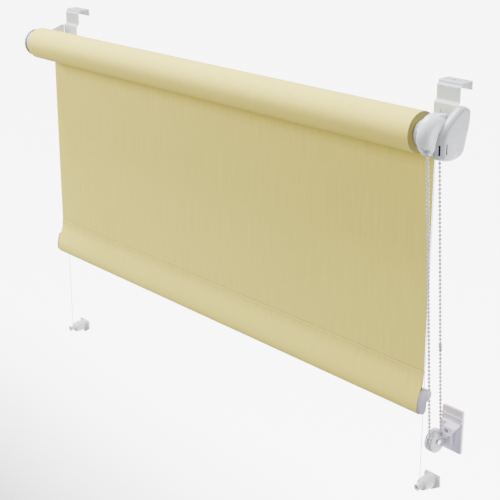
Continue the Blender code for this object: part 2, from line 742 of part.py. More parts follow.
def make_hanging_fabric(looks):
    sheet_low = (-HALF, SHEET_Y - FABRIC_T / 2, SEAM_Z)
    sheet = block(sheet_low, (HALF, SHEET_Y + FABRIC_T / 2, 0.0))
    finish("fabric_sheet", sheet, (0, SHEET_Y, 0), looks["fabric"], smooth=False)
    outer = hem_outline()
    inner = shrunk(outer, FABRIC_T)
    # The pocket's mouth is sewn shut above the rail, so the hollow starts below the seam.
    middle = [(a[0] + b[0]) / 2 for a, b in ((outer[0], outer[-1]), (outer[1], outer[-2]))]
    for k, share in ((0, 0.10), (1, 0.24)):
        inner[k] = (middle[k] - FABRIC_T / 4, SEAM_Z - share * HEM_HEIGHT)
        inner[-1 - k] = (middle[k] + FABRIC_T / 4, SEAM_Z - share * HEM_HEIGHT)
    origin = (0, SHEET_Y, SEAM_Z)
    finish("hem_pocket", ring_prism(outer, inner, -HALF, HALF), origin, looks["fabric"])

    rail_outer = below(shrunk(outer, FABRIC_T + GAP), RAIL_TOP)
    hollow = below(shrunk(rail_outer, RAIL_WALL), RAIL_TOP - 4 * RAIL_WALL)
    rail_end = HALF - 0.0015
    rail = finish("bottom_rail", prism(rail_outer, -rail_end, rail_end), origin, looks["white"])
    cut(rail, "rail_hollow", prism(hollow, -rail_end - 0.001, rail_end + 0.001))
    for side, sign in (("left", -1), ("right", 1)):
        make_rail_cap(side, sign, outer, hollow, looks)


def make_rail_cap(side, sign, outer, hollow, looks):
    """End cap: face plate, spigot in the rail, and the rear lug that the guide line runs through."""
    face_low, face_high = HALF + GAP, HALF + GAP + RAIL_CAP_T
    plate = below(shrunk(outer, FABRIC_T / 2), RAIL_TOP)
    low, high = sorted((sign * face_low, sign * face_high))
    origin = (0, SHEET_Y, SEAM_Z)
    cap = finish(f"rail_cap_{side}", prism(plate, low, high), origin, looks["cap"])
    low, high = sorted((sign * (HALF - 0.008), sign * (face_low + 0.0005)))
    spigot = below(shrunk(hollow, GAP), RAIL_TOP - 6 * RAIL_WALL)
    join(cap, f"rail_spigot_{side}", prism(spigot, low, high))
    rear = SHEET_Y + 0.0022 + GAP + 0.0003
    lug_top, lug_bottom = RAIL_TOP - 0.0020, RAIL_TOP - 0.0090
    web_rear = LINE_Y + 0.0030
    web = [
        (SHEET_Y - 0.001, lug_bottom - 0.004),
        (LINE_Y + 0.0016, lug_bottom - 0.001),
        (web_rear, lug_bottom + 0.001),
        (web_rear, lug_top - 0.002),
        (LINE_Y + 0.0010, lug_top),
        (SHEET_Y - 0.001, RAIL_TOP - 0.0002),
    ]
    low, high = sorted((sign * (face_low + 0.0001), sign * (face_high - 0.0002)))
    join(cap, f"rail_web_{side}", prism(web, low, high))
    ear = [(rear, lug_bottom), (LINE_Y + 0.0022, lug_bottom), (LINE_Y + 0.0022, lug_top), (rear, lug_top)]
    low, high = sorted((sign * (LINE_X - 0.0022), sign * (face_high - 0.0004)))
    join(cap, f"rail_ear_{side}", prism(rounded(ear, 0.0008, closed=True), low, high))
    eye = solid_of_turn([(lug_bottom - 0.001, 0.0008), (lug_top + 0.001, 0.0008)], steps=16)
    turn_up(eye, (sign * LINE_X, LINE_Y))
    cut(cap, f"rail_eye_{side}", eye)


# ---- chain, holder and clips -------------------------------------------------------------------
def chain_route():
    """Closed loop: over the sprocket, down the rear strand, round the pulley and up the front one."""
    lean = math.atan2(PULLEY_Y, -PULLEY_Z)
    spots = []
    arc_steps = 10
    for centre, start in (((0.0, 0.0), 0.0), ((PULLEY_Y, PULLEY_Z), math.pi)):
        for k in range(arc_steps + 1):
            angle = start + lean + math.pi * k / arc_steps
            y = centre[0] + CHAIN_R * math.cos(angle)
            z = centre[1] + CHAIN_R * math.sin(angle)
            spots.append((CHAIN_X, y, z))
    return spots


def make_chain(looks):
    """The bead chain as one tube of the beads' diameter."""
    corners = chain_route()
    spots = []
    for one, two in zip(corners, corners[1:] + corners[:1]):
        run = (Vector(two) - Vector(one)).length
        pieces = max(1, round(run / 0.03))
        spots += [tuple(Vector(one).lerp(Vector(two), k / pieces)) for k in range(pieces)]
    tube_along("bead_chain", spots, CHAIN_D, looks["bead"], (CHAIN_X, 0, 0), cyclic=True)

    lean = math.atan2(PULLEY_Y, -PULLEY_Z)
    down = Vector((0, math.sin(lean), -math.cos(lean)))
    middle = Vector((CHAIN_X, CHAIN_R * math.cos(lean), CHAIN_R * math.sin(lean))) + down * CONNECTOR_DOWN
    bore = CHAIN_D / 2 + GAP
    half = CONNECTOR_LENGTH / 2
    wall = 0.0007
    sleeve = [
        (-half, bore),
        (-half, bore + wall),
        (-half + 0.001, bore + wall + 0.0002),
        (half - 0.001, bore + wall + 0.0002),
        (half, bore + wall),
        (half, bore),
    ]
    shape = turned(sleeve, steps=20)
    turn_up(shape, (0, 0))
    bmesh.ops.rotate(shape, verts=shape.verts, matrix=Matrix.Rotation(lean, 3, "X"))
    bmesh.ops.translate(shape, verts=shape.verts, vec=middle)
    finish("chain_connector", shape, tuple(middle), looks["clear"])


def make_chain_holder(looks):
    pad_low = (HOLDER_LOW_X + 0.001, SASH_Y - HOLDER_PAD_T, HOLDER_TOP - HOLDER_HEIGHT + 0.001)
    high_x = HOLDER_LOW_X + HOLDER_WIDTH
    pad = block(pad_low, (high_x - 0.001, SASH_Y, HOLDER_TOP - 0.001))
    finish("holder_pad", pad, (0, 0, 0), looks["foam"], smooth=False)

    low_z = HOLDER_TOP - HOLDER_HEIGHT
    face = [(HOLDER_LOW_X, low_z), (high_x, low_z), (high_x, HOLDER_TOP), (HOLDER_LOW_X, HOLDER_TOP)]
    face = rounded(face, 0.0012, closed=True)
    plate = finish("holder_plate", prism(face, HOLDER_FRONT, HOLDER_FRONT + HOLDER_T, "Y"),
                   (0, 0, 0), looks["holder"])
    for k in range(2):
        top = HOLDER_TOP - 0.0066 - 0.0032 * k
        rib = block((HOLDER_LOW_X, HOLDER_FRONT - 0.0010, top - 0.0018),
                    (high_x - 0.0004, HOLDER_FRONT + 0.0005, top))
        join(plate, f"holder_rib_{k}", rib)

    wall = 0.0011
    case_low, case_high = CHAIN_X - WHEEL_WIDTH / 2 - GAP - wall, CHAIN_X + WHEEL_WIDTH / 2 + GAP + wall
    case_r = WHEEL_RIM_R + 0.0008 + wall
    boss_low_x = case_high + GAP
    boss = [
        (boss_low_x, HOLDER_TOP - 0.024),
        (boss_low_x + 0.004, HOLDER_TOP - 0.024),
        (high_x - 0.0012, HOLDER_TOP - 0.014),
        (high_x - 0.0012, HOLDER_TOP - 0.0120),
        (boss_low_x, HOLDER_TOP - 0.0120),
    ]
    boss_front = PULLEY_Y + 0.004
    arm = finish("holder_arm", prism(boss, boss_front, HOLDER_FRONT - GAP, "Y"), (0, 0, 0), looks["holder"])
    bridge_low = (case_low, PULLEY_Y + case_r + GAP + 0.0002, HOLDER_TOP - 0.036)
    bridge_high = (boss_low_x + 0.004, HOLDER_FRONT - GAP, HOLDER_TOP - 0.0120)
    join(arm, "holder_bridge", block(bridge_low, bridge_high))
    hole = [(boss_front - 0.001, 0.0024), (HOLDER_FRONT + 0.001, 0.0024)]
    hole_place = (boss_low_x + 0.0045, 0, HOLDER_TOP - 0.0165)
    cut(arm, "holder_hole", solid_of_turn(hole, centre=hole_place, steps=24, axis="Y"))

    place = (CHAIN_X, PULLEY_Y, PULLEY_Z)
    round_case = [(case_low, case_r - 0.0006), (case_low + 0.0006, case_r),
                  (case_high - 0.0006, case_r), (case_high, case_r - 0.0006)]
    case = finish("pulley_housing", solid_of_turn(round_case, centre=(0, PULLEY_Y, PULLEY_Z), steps=48),
                  place, looks["clear"])
    hollow = [(case_low + wall, case_r - wall), (case_high - wall, case_r - wall)]
    cut(case, "case_hollow", solid_of_turn(hollow, centre=(0, PULLEY_Y, PULLEY_Z), steps=48))
    mouth_low = (CHAIN_X - CHANNEL, PULLEY_Y - case_r - 0.001, PULLEY_Z + 0.0004)
    cut(case, "case_mouth", block(mouth_low, (CHAIN_X + CHANNEL, PULLEY_Y + case_r + 0.001, PULLEY_Z + 0.02)))
    axle_hole = [(case_low - 0.001, PULLEY_AXLE_R + GAP), (case_high + 0.001, PULLEY_AXLE_R + GAP)]
    cut(case, "case_axle_hole", solid_of_turn(axle_hole, centre=(0, PULLEY_Y, PULLEY_Z), steps=20))

    wheel = turned(wheel_profile(PULLEY_AXLE_R + GAP), centre=place, steps=48)
    finish("chain_pulley", wheel, place, looks["white"])
    axle = [
        (case_low - 0.0004, PULLEY_AXLE_R - 0.0003),
        (case_low, PULLEY_AXLE_R),
        (case_high + GAP, PULLEY_AXLE_R),
        (case_high + GAP, PULLEY_AXLE_R + 0.001),
        (case_high + 0.0012, PULLEY_AXLE_R + 0.0006),
    ]
    finish("pulley_axle", solid_of_turn(axle, centre=(0, PULLEY_Y, PULLEY_Z), steps=20), place, looks["steel"])


def make_line_clip(side, looks):
    """Anchor at the foot of a guide line: pad, plate with a cone and spigot, and a turning knob."""
    sign = 1 if side == "right" else -1
    x, z = sign * LINE_X, CLIP_Z[side]
    outline = [(-0.0095, -0.0045), (0.0, -0.0105), (0.0095, -0.0045), (0.0085, 0.0065), (-0.0085, 0.0065)]
    face = [(x + u, z + v) for u, v in rounded(outline, 0.0014, closed=True)]
    pad_face = [(x + 0.86 * u, z + 0.86 * v) for u, v in outline]
    pad = prism(pad_face, SASH_Y - CLIP_PAD_T, SASH_Y, "Y")
    finish(f"clip_pad_{side}", pad, (x, SASH_Y, z), looks["foam"], smooth=False)
    base = prism(face, CLIP_FRONT, CLIP_FRONT + CLIP_PLATE_T, "Y")
    clip = finish(f"clip_base_{side}", base, (x, CLIP_FRONT, z), looks["white"])
    spigot_end = LINE_Y - LINE_D
    cone = [
        (spigot_end, CLIP_SPIGOT_R - 0.0003),
        (spigot_end + 0.0003, CLIP_SPIGOT_R),
        (LINE_Y + 0.0012, CLIP_SPIGOT_R),
        (LINE_Y + 0.0030, CLIP_CONE_R - 0.0010),
        (LINE_Y + 0.0100, CLIP_CONE_R),
        (CLIP_FRONT + 0.0008, CLIP_CONE_R - 0.0012),
    ]
    join(clip, f"clip_cone_{side}", solid_of_turn(cone, centre=(x, 0, z), steps=32, axis="Y"))
    knob_high = spigot_end - GAP
    knob_low = knob_high - KNOB_LENGTH
    hole_floor = knob_low + 0.7 * KNOB_LENGTH
    knob = [
        (knob_high, 0.0),
        (knob_high, CLIP_SPIGOT_R - 0.0003),
        (knob_low + 0.0010, CLIP_SPIGOT_R + 0.0005),
        (knob_low, CLIP_SPIGOT_R + 0.0002),
        (knob_low, CLIP_SPIGOT_R - 0.0008),
        (hole_floor, CLIP_SPIGOT_R - 0.0012),
        (hole_floor, 0.0),
    ]
    knob_shape = turned(knob, centre=(x, 0, z), steps=24, axis="Y", closed=False)
    finish(f"clip_knob_{side}", knob_shape, (x, knob_low, z), looks["white"])


def make_guide_line(side, looks):
    sign = 1 if side == "right" else -1
    x = sign * LINE_X
    wall = HOUSING_X if side == "right" else CHEEK_X
    low, high = sorted((sign * (LINE_X - 0.0025), sign * (wall - GAP)))
    peg = [(low, ANCHOR_R - 0.0003), (low + 0.0003, ANCHOR_R), (high - 0.0003, ANCHOR_R), (high, ANCHOR_R - 0.0003)]
    peg_shape = solid_of_turn(peg, centre=(0, LINE_Y, ANCHOR_Z), steps=20)
    finish(f"line_anchor_{side}", peg_shape, (x, LINE_Y, ANCHOR_Z), looks["white"])
    top = ANCHOR_Z - ANCHOR_R - GAP
    bottom = CLIP_Z[side] + CLIP_SPIGOT_R + GAP
    pieces = 12
    spots = [(x, LINE_Y, top + (bottom - top) * k / pieces) for k in range(pieces + 1)]
    tube_along(f"guide_line_{side}", spots, LINE_D, looks["line"], (x, LINE_Y, top))


def main():
    for old in list(bpy.data.objects):
        bpy.data.objects.remove(old)
    looks = make_materials()
    make_roller(looks)
    make_drive_plug(looks)
    make_clutch(looks)
    make_clutch_housing(looks)
    make_outer_cover(looks)
    make_idle_end(looks)
    make_idle_bracket(looks)
    for side in ("left", "right"):
        make_hook(side, looks)
        make_line_clip(side, looks)
        make_guide_line(side, looks)
    make_hanging_fabric(looks)
    make_chain(looks)
    make_chain_holder(looks)


main()
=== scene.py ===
"""Looks of the chain-operated roller blind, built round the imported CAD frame."""

import json
import math

import bmesh
import bpy
from mathutils import Matrix, Vector, noise
from mathutils.bvhtree import BVHTree


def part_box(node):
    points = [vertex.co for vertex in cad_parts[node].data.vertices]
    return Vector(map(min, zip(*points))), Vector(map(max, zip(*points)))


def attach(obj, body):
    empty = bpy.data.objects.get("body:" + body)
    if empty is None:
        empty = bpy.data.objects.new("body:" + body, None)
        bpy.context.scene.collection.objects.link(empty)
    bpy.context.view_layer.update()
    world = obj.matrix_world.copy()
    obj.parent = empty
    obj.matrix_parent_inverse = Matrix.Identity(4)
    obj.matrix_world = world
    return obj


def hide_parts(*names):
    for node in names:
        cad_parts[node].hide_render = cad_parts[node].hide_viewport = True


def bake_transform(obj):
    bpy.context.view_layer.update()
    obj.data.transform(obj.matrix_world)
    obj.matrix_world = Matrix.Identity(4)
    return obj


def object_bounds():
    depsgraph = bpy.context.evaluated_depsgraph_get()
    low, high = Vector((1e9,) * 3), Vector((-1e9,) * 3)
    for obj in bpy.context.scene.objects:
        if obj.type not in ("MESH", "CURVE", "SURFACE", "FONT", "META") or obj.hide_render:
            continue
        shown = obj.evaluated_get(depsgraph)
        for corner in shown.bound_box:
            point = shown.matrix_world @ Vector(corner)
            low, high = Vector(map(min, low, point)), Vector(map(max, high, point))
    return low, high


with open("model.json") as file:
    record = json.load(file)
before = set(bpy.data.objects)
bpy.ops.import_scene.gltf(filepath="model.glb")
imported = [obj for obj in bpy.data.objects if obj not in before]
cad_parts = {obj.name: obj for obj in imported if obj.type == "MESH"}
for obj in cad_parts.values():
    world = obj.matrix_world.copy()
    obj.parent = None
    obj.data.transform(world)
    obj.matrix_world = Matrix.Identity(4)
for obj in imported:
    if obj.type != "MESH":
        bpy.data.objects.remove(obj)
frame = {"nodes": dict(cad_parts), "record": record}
cad_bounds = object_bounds()

# ---- sizes and places, in metres, read from the frame --------------------------------------------
GAP = 0.0003
FABRIC_T = 0.0005
LAYER_PITCH = 0.00056  # fabric plus the air between two layers of the roll
BEAD_PITCH = 0.00375
BEAD_D = 0.0028
STRING_D = 0.0009
LINE_D = 0.0007
STITCH_PITCH = 0.0028
STITCH_D = 0.00035
STITCH_DROP = 0.0022  # from the seam down to the row of stitches
HEM_LAYER_Y = 0.0006  # from the sheet's middle to each of the hem's layers at the stitches
THREAD_PITCH = {"X": 0.00052, "Y": 0.00060}  # of the cloth's weave, across and along it
COVER_NOSE_REACH = 0.0092  # how far back the outer cover's front edge slopes
COVER_CREASE = ((0.0060, -0.0045), (0.0400, 0.0040))  # (y, z) of its ends, from the roller's axis
GROOVE_SIZE = Vector((0.0056, 0.0014, 0.0086))  # finger grooves in the outer cover
GROOVE_Y = (-0.0024, 0.0040)
GROOVE_Z = -0.0110
SLEEVE_HALF = 0.0034
SLEEVE_R = 0.00165
SLEEVE_BORE = 0.0006

roll_low, roll_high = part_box("fabric_roll")
sheet_low, sheet_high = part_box("fabric_sheet")
hem_low, hem_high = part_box("hem_pocket")
HALF = roll_high.x
ROLL_R = (roll_high.z - roll_low.z) / 2
AXIS = Vector((0, (roll_low.y + roll_high.y) / 2, (roll_low.z + roll_high.z) / 2))
ROLL_BORE = (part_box("tube")[1].z - AXIS.z) + 0.0006
SHEET_Y = (sheet_low.y + sheet_high.y) / 2
SEAM_Z = sheet_low.z
HEM_HEIGHT = SEAM_Z - hem_low.z + GAP

CAMERA_PLACE = (0.8664, -0.7577, 0.1957)
CAMERA_YAW = math.radians(47.84)
CAMERA_PITCH = math.radians(17.06)
CAMERA_LENS = 83.14
CAMERA_SHIFT_Y = -0.12
FLOOR_Z = cad_bounds[0].z - 1.2


# ---- camera, floor and light ---------------------------------------------------------------------
def make_camera():
    data = bpy.data.cameras.new("camera")
    data.lens = CAMERA_LENS
    data.shift_y = CAMERA_SHIFT_Y
    data.clip_start, data.clip_end = 0.01, 50
    camera = bpy.data.objects.new("camera", data)
    camera.location = CAMERA_PLACE
    camera.rotation_euler = (math.pi / 2 - CAMERA_PITCH, 0, CAMERA_YAW)
    bpy.context.scene.collection.objects.link(camera)
    bpy.context.scene.camera = camera


def make_light(name, place, target, size, power):
    data = bpy.data.lights.new(name, "AREA")
    data.shape = "DISK"
    data.size = size
    data.energy = power
    light = bpy.data.objects.new(name, data)
    light.location = place
    light.rotation_euler = (Vector(target) - Vector(place)).to_track_quat("-Z", "Y").to_euler()
    bpy.context.scene.collection.objects.link(light)


def make_floor():
    """Pale floor that turns into a bright sweep behind the blind."""
    shape = bmesh.new()
    bmesh.ops.create_grid(shape, x_segments=1, y_segments=1, size=40)
    bmesh.ops.translate(shape, verts=shape.verts, vec=(0, 0, FLOOR_Z))
    mesh = bpy.data.meshes.new("floor")
    shape.to_mesh(mesh)
    shape.free()
    floor = bpy.data.objects.new("floor", mesh)
    look, tree, shader = start_material("floor", 0.9)
    split = add(tree, "SeparateXYZ", {"Vector": (add(tree, "TexCoord"), "Object")})
    sweep = add(tree, "MapRange", {"Value": (split, "Y"), "From Min": 0.3, "From Max": 1.5},
                interpolation_type="SMOOTHSTEP")
    grey = blend_colours(tree, (sweep, "Result"), (0.42, 0.42, 0.42, 1), (0.95, 0.95, 0.95, 1))
    link(tree, grey, shader, "Base Color")
    shader.inputs["Emission Color"].default_value = (1, 1, 1, 1)
    glow = add(tree, "Math", {0: (sweep, "Result"), 1: 7.0}, operation="MULTIPLY")
    tree.links.new(glow.outputs["Value"], shader.inputs["Emission Strength"])
    mesh.materials.append(look)
    bpy.context.scene.collection.objects.link(floor)


def make_studio():
    world = bpy.data.worlds.new("studio")
    world.use_nodes = True
    sky = world.node_tree.nodes["Background"]
    sky.inputs["Color"].default_value = (1, 1, 1, 1)
    sky.inputs["Strength"].default_value = 0.66
    bpy.context.scene.world = world
    middle = (0, -0.02, -0.15)
    make_light("top_light", (-0.5, -0.25, 2.6), middle, 1.4, 285)
    make_light("key_light", (-1.15, -1.25, 0.55), middle, 0.7, 41)
    make_light("side_light", (2.6, -0.4, 1.5), middle, 0.8, 16)
    make_floor()


# ---- materials -----------------------------------------------------------------------------------
def add(tree, kind, inputs=None, **settings):
    """New shader node. An input given as a (node, output name) pair is linked, any other is set."""
    made = tree.nodes.new("ShaderNode" + kind)
    for key, value in settings.items():
        setattr(made, key, value)
    for key, value in (inputs or {}).items():
        socket = made.inputs[key]
        if isinstance(value, tuple) and hasattr(value[0], "outputs"):
            tree.links.new(value[0].outputs[value[1]], socket)
        else:
            socket.default_value = value
    return made


def start_material(name, roughness, metallic=0.0):
    look = bpy.data.materials.new(name)
    look.use_nodes = True
    shader = look.node_tree.nodes["Principled BSDF"]
    shader.inputs["Roughness"].default_value = roughness
    shader.inputs["Metallic"].default_value = metallic
    return look, look.node_tree, shader


def stretched_noise(tree, coordinates, stretch, detail=2.0, roughness=0.5):
    """Noise over coordinates in metres; stretch gives its frequency, per metre, along each axis."""
    mapping = add(tree, "Mapping", {"Vector": coordinates, "Scale": stretch})
    return add(tree, "TexNoise", {"Vector": (mapping, "Vector"), "Scale": 1.0, "Detail": detail,
                                  "Roughness": roughness})


def remap(tree, value, low, high, start=0.3, end=0.7):
    return add(tree, "MapRange", {"Value": value, "From Min": start, "From Max": end,
                                  "To Min": low, "To Max": high})


def blend_colours(tree, factor, dark, light, mode="MIX"):
    mixed = add(tree, "Mix", data_type="RGBA", blend_type=mode)
    mixed.inputs[0].default_value = 1.0
    for index, value in ((0, factor), (6, dark), (7, light)):
        if isinstance(value, tuple) and hasattr(value[0], "outputs"):
            tree.links.new(value[0].outputs[value[1]], mixed.inputs[index])
        else:
            mixed.inputs[index].default_value = value
    return (mixed, 2)


def link(tree, source, target, socket):
    tree.links.new(source[0].outputs[source[1]], target.inputs[socket])


def rgb(colour, factor=1.0):
    return (*[min(1.0, c * factor) for c in colour], 1.0)


def plastic(name, colour, roughness, grain=0.00003, scatter=0.0, wear=0.05):
    """Moulded plastic: fine spark-eroded grain, slight tone drift, dust in the roughness."""
    look, tree, shader = start_material(name, roughness)
    place = (add(tree, "TexCoord"), "Object")
    drift = stretched_noise(tree, place, (60, 60, 60), 3.0)
    factor = remap(tree, (drift, "Fac"), 0.0, 1.0)
    mixed = blend_colours(tree, (factor, "Result"), rgb(colour, 1 - wear), rgb(colour, 1 + wear / 2))
    link(tree, mixed, shader, "Base Color")
    smudge = stretched_noise(tree, place, (240, 240, 240), 4.0, 0.6)
    rough = remap(tree, (smudge, "Fac"), roughness - 0.07, roughness + 0.09)
    link(tree, (rough, "Result"), shader, "Roughness")
    fine = stretched_noise(tree, place, (2600, 2600, 2600), 2.0)
    bump = add(tree, "Bump", {"Height": (fine, "Fac"), "Distance": grain, "Strength": 0.6})
    link(tree, (bump, "Normal"), shader, "Normal")
    if scatter:
        shader.inputs["Subsurface Weight"].default_value = scatter
        shader.inputs["Subsurface Radius"].default_value = (0.0012, 0.0012, 0.0014)
        shader.inputs["Subsurface Scale"].default_value = 1.0
    return look


def metal(name, colour, roughness, metallic, brush, grain=0.00002):
    """Metal or paint on metal: brush marks or orange peel along the given frequencies."""
    look, tree, shader = start_material(name, roughness, metallic)
    place = (add(tree, "TexCoord"), "Object")
    marks = stretched_noise(tree, place, brush, 3.0, 0.6)
    factor = remap(tree, (marks, "Fac"), 0.0, 1.0)
    mixed = blend_colours(tree, (factor, "Result"), rgb(colour, 0.93), rgb(colour, 1.05))
    link(tree, mixed, shader, "Base Color")
    rough = remap(tree, (marks, "Fac"), roughness - 0.06, roughness + 0.1)
    link(tree, (rough, "Result"), shader, "Roughness")
    bump = add(tree, "Bump", {"Height": (marks, "Fac"), "Distance": grain, "Strength": 0.5})
    link(tree, (bump, "Normal"), shader, "Normal")
    return look


def clear_plastic(name, colour, roughness, transmission):
    look, tree, shader = start_material(name, roughness)
    shader.inputs["Transmission Weight"].default_value = transmission
    shader.inputs["IOR"].default_value = 1.46
    place = (add(tree, "TexCoord"), "Object")
    flow = stretched_noise(tree, place, (150, 150, 420), 3.0)
    factor = remap(tree, (flow, "Fac"), 0.0, 1.0)
    mixed = blend_colours(tree, (factor, "Result"), rgb(colour, 0.93), rgb(colour))
    link(tree, mixed, shader, "Base Color")
    rough = remap(tree, (flow, "Fac"), roughness * 0.7, roughness * 1.3)
    link(tree, (rough, "Result"), shader, "Roughness")
    return look


def cloth(name, colour):
    """Slubbed plain weave. UVs are in metres: U across the fabric, V along it."""
    look, tree, shader = start_material(name, 0.85)
    shader.inputs["Specular IOR Level"].default_value = 0.2
    shader.inputs["Sheen Weight"].default_value = 0.05
    shader.inputs["Sheen Roughness"].default_value = 0.5
    place = (add(tree, "UVMap", uv_map="cloth"), "UV")
    long_slubs = stretched_noise(tree, place, (900, 16, 1), 3.0, 0.6)
    short_slubs = stretched_noise(tree, place, (420, 60, 1), 2.0)
    picks = stretched_noise(tree, place, (22, 800, 1), 2.0)
    clouds = stretched_noise(tree, place, (9, 9, 1), 2.0)
    base = blend_colours(tree, (remap(tree, (long_slubs, "Fac"), 0.0, 1.0), "Result"),
                         rgb(colour, 0.915), rgb(colour, 1.05))
    for source, low in ((short_slubs, 0.965), (picks, 0.972), (clouds, 0.975)):
        tone = remap(tree, (source, "Fac"), low, 1.0)
        grey = add(tree, "CombineColor", {c: (tone, "Result") for c in ("Red", "Green", "Blue")})
        base = blend_colours(tree, 1.0, base, (grey, "Color"), "MULTIPLY")
    link(tree, base, shader, "Base Color")
    split = add(tree, "SeparateXYZ", {"Vector": place})
    threads = []
    for axis, pitch in THREAD_PITCH.items():
        turn = add(tree, "Math", {0: (split, axis), 1: math.tau / pitch}, operation="MULTIPLY")
        threads.append(add(tree, "Math", {0: (turn, "Value")}, operation="SINE"))
    weave = add(tree, "Math", {0: (threads[0], "Value"), 1: (threads[1], "Value")},
                operation="MULTIPLY")
    height = add(tree, "Math", {0: (weave, "Value"), 1: 0.35, 2: (long_slubs, "Fac")},
                 operation="MULTIPLY_ADD")
    bump = add(tree, "Bump", {"Height": (height, "Value"), "Distance": 0.00012, "Strength": 0.5})
    link(tree, (bump, "Normal"), shader, "Normal")
    return look


def make_looks():
    return {
        "cloth": cloth("cloth", (0.80, 0.680, 0.118)),
        # darker copy of the cloth for the fabric's cut edges and the roll's end faces: painted shade
        "cloth_edge_painted_shade": cloth("cloth_edge_painted_shade", (0.33, 0.28, 0.085)),
        "thread": plastic("thread", (0.72, 0.62, 0.20), 0.8),
        "white": plastic("white_plastic", (0.76, 0.775, 0.81), 0.34, scatter=0.05),
        "cover": plastic("cover_plastic", (0.43, 0.44, 0.475), 0.32, scatter=0.03),
        "cap": plastic("cap_plastic", (0.36, 0.34, 0.45), 0.42),
        "holder": plastic("holder_plastic", (0.90, 0.84, 1.0), 0.30, scatter=0.04),
        # near-black look for the inside of the outer cover's grooves: painted shade
        "slot": plastic("slot_shadow", (0.025, 0.025, 0.03), 0.6),
        "bead": plastic("bead_plastic", (0.66, 0.66, 0.66), 0.3, scatter=0.1),
        "foam": plastic("foam", (0.80, 0.80, 0.78), 0.9, grain=0.00012),
        "painted": metal("painted_steel", (0.53, 0.56, 0.615), 0.27, 0.06, (900, 900, 900)),
        "steel": metal("steel", (0.62, 0.62, 0.63), 0.3, 1.0, (900, 120, 900)),
        "tube": metal("mill_aluminium", (0.80, 0.81, 0.82), 0.34, 1.0, (30, 1400, 1400)),
        "clear": clear_plastic("clear_plastic", (0.80, 0.80, 0.86), 0.10, 0.60),
        "line": clear_plastic("clear_nylon", (0.90, 0.90, 0.90), 0.12, 0.35),
    }


# ---- shape helpers -------------------------------------------------------------------------------
def place_mesh(name, shape, look, body, smooth=40, weighted=False):
    """Object from a bmesh in the row frame, riding on a CAD body."""
    bmesh.ops.recalc_face_normals(shape, faces=shape.faces)
    mesh = bpy.data.meshes.new(name)
    shape.to_mesh(mesh)
    shape.free()
    mesh.shade_smooth()
    mesh.set_sharp_from_angle(angle=math.radians(smooth))
    for one in look if isinstance(look, (list, tuple)) else [look]:
        mesh.materials.append(one)
    made = bpy.data.objects.new(name, mesh)
    bpy.context.scene.collection.objects.link(made)
    if weighted:
        step = made.modifiers.new("even_shading", "WEIGHTED_NORMAL")
        step.keep_sharp = True
    if body:
        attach(made, body)
    return made


def body_with(node):
    groups = frame["record"]["behaviour"]["bodies"]
    return next(body for body, members in groups.items() if node in members)


def softened(node, look, radius):
    """Copy of a CAD node with its edges rounded, which stands for it."""
    shape = bmesh.new()
    shape.from_mesh(frame["nodes"][node].data)
    bmesh.ops.remove_doubles(shape, verts=shape.verts, dist=2e-6)
    bmesh.ops.dissolve_limit(shape, angle_limit=math.radians(0.6), verts=shape.verts, edges=shape.edges)
    limit = math.radians(28)
    edges = [e for e in shape.edges if len(e.link_faces) == 2 and e.calc_face_angle(0) > limit]
    if radius:
        bmesh.ops.bevel(shape, geom=edges, offset=radius, segments=2, profile=0.5,
                        affect="EDGES", clamp_overlap=True)
    made = place_mesh(node + "_look", shape, look, body_with(node), weighted=True)
    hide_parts(node)


def smooth_path(points, steps, closed=False):
    """Catmull-Rom curve through 2-D points."""
    spots = [Vector(p) for p in points]
    count = len(spots)
    result = []
    for k in range(count if closed else count - 1):
        if closed:
            a, b, c, d = (spots[(k + n) % count] for n in (-1, 0, 1, 2))
        else:
            a, b = spots[max(k - 1, 0)], spots[k]
            c, d = spots[k + 1], spots[min(k + 2, count - 1)]
        for n in range(steps):
            t = n / steps
            result.append(0.5 * (2 * b + (c - a) * t + (2 * a - 5 * b + 4 * c - d) * t * t
                                 + (3 * b - a - 3 * c + d) * t ** 3))
    if not closed:
        result.append(spots[-1])
    return result


def offset_path(path, by):
    """Open path moved to its left."""
    result = []
    for k, spot in enumerate(path):
        along = (path[min(k + 1, len(path) - 1)] - path[max(k - 1, 0)]).normalized()
        result.append(spot + Vector((-along.y, along.x)) * by)
    return result


# ---- cords ---------------------------------------------------------------------------------------
def make_guide_lines(looks):
    for side in ("left", "right"):
        low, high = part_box(f"guide_line_{side}")
        x, y = (low.x + high.x) / 2, (low.y + high.y) / 2
        curve = bpy.data.curves.new(f"guide_line_{side}_look", "CURVE")
        curve.dimensions = "3D"
        curve.bevel_depth = LINE_D / 2
        curve.bevel_resolution = 3
        curve.use_fill_caps = True
        spline = curve.splines.new("POLY")
        pieces = 12
        spline.points.add(pieces)
        for k, point in enumerate(spline.points):
            point.co = (x, y, high.z + (low.z - high.z) * k / pieces, 1)
        line = bpy.data.objects.new(curve.name, curve)
        curve.materials.append(looks["line"])
        bpy.context.scene.collection.objects.link(line)
        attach(line, "brackets")
        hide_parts(f"guide_line_{side}")


def chain_loop():
    """(total length, function of distance to (point, direction)) of the chain's centreline."""
    ends = []
    for node in ("chain_sprocket", "chain_pulley"):
        low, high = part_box(node)
        ends.append(Vector(((low.y + high.y) / 2, (low.z + high.z) / 2)))
    low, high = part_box("bead_chain")
    x = (low.x + high.x) / 2
    radius = ends[1].y - low.z - BEAD_D / 2
    span = ends[1] - ends[0]
    down = span.normalized()
    rear = Vector((-down.y, down.x))
    arc = math.pi * radius
    total = 2 * span.length + 2 * arc

    def on_loop(distance):
        s = distance % total
        if s < span.length:
            return ends[0] + rear * radius + down * s, down
        s -= span.length
        if s < arc:
            turn = s / radius
            out = rear * math.cos(turn) + down * math.sin(turn)
            return ends[1] + out * radius, down * math.cos(turn) - rear * math.sin(turn)
        s -= arc
        if s < span.length:
            return ends[1] - rear * radius - down * s, -down
        turn = (s - span.length) / radius
        out = -rear * math.cos(turn) - down * math.sin(turn)
        return ends[0] + out * radius, rear * math.sin(turn) - down * math.cos(turn)

    return x, total, on_loop


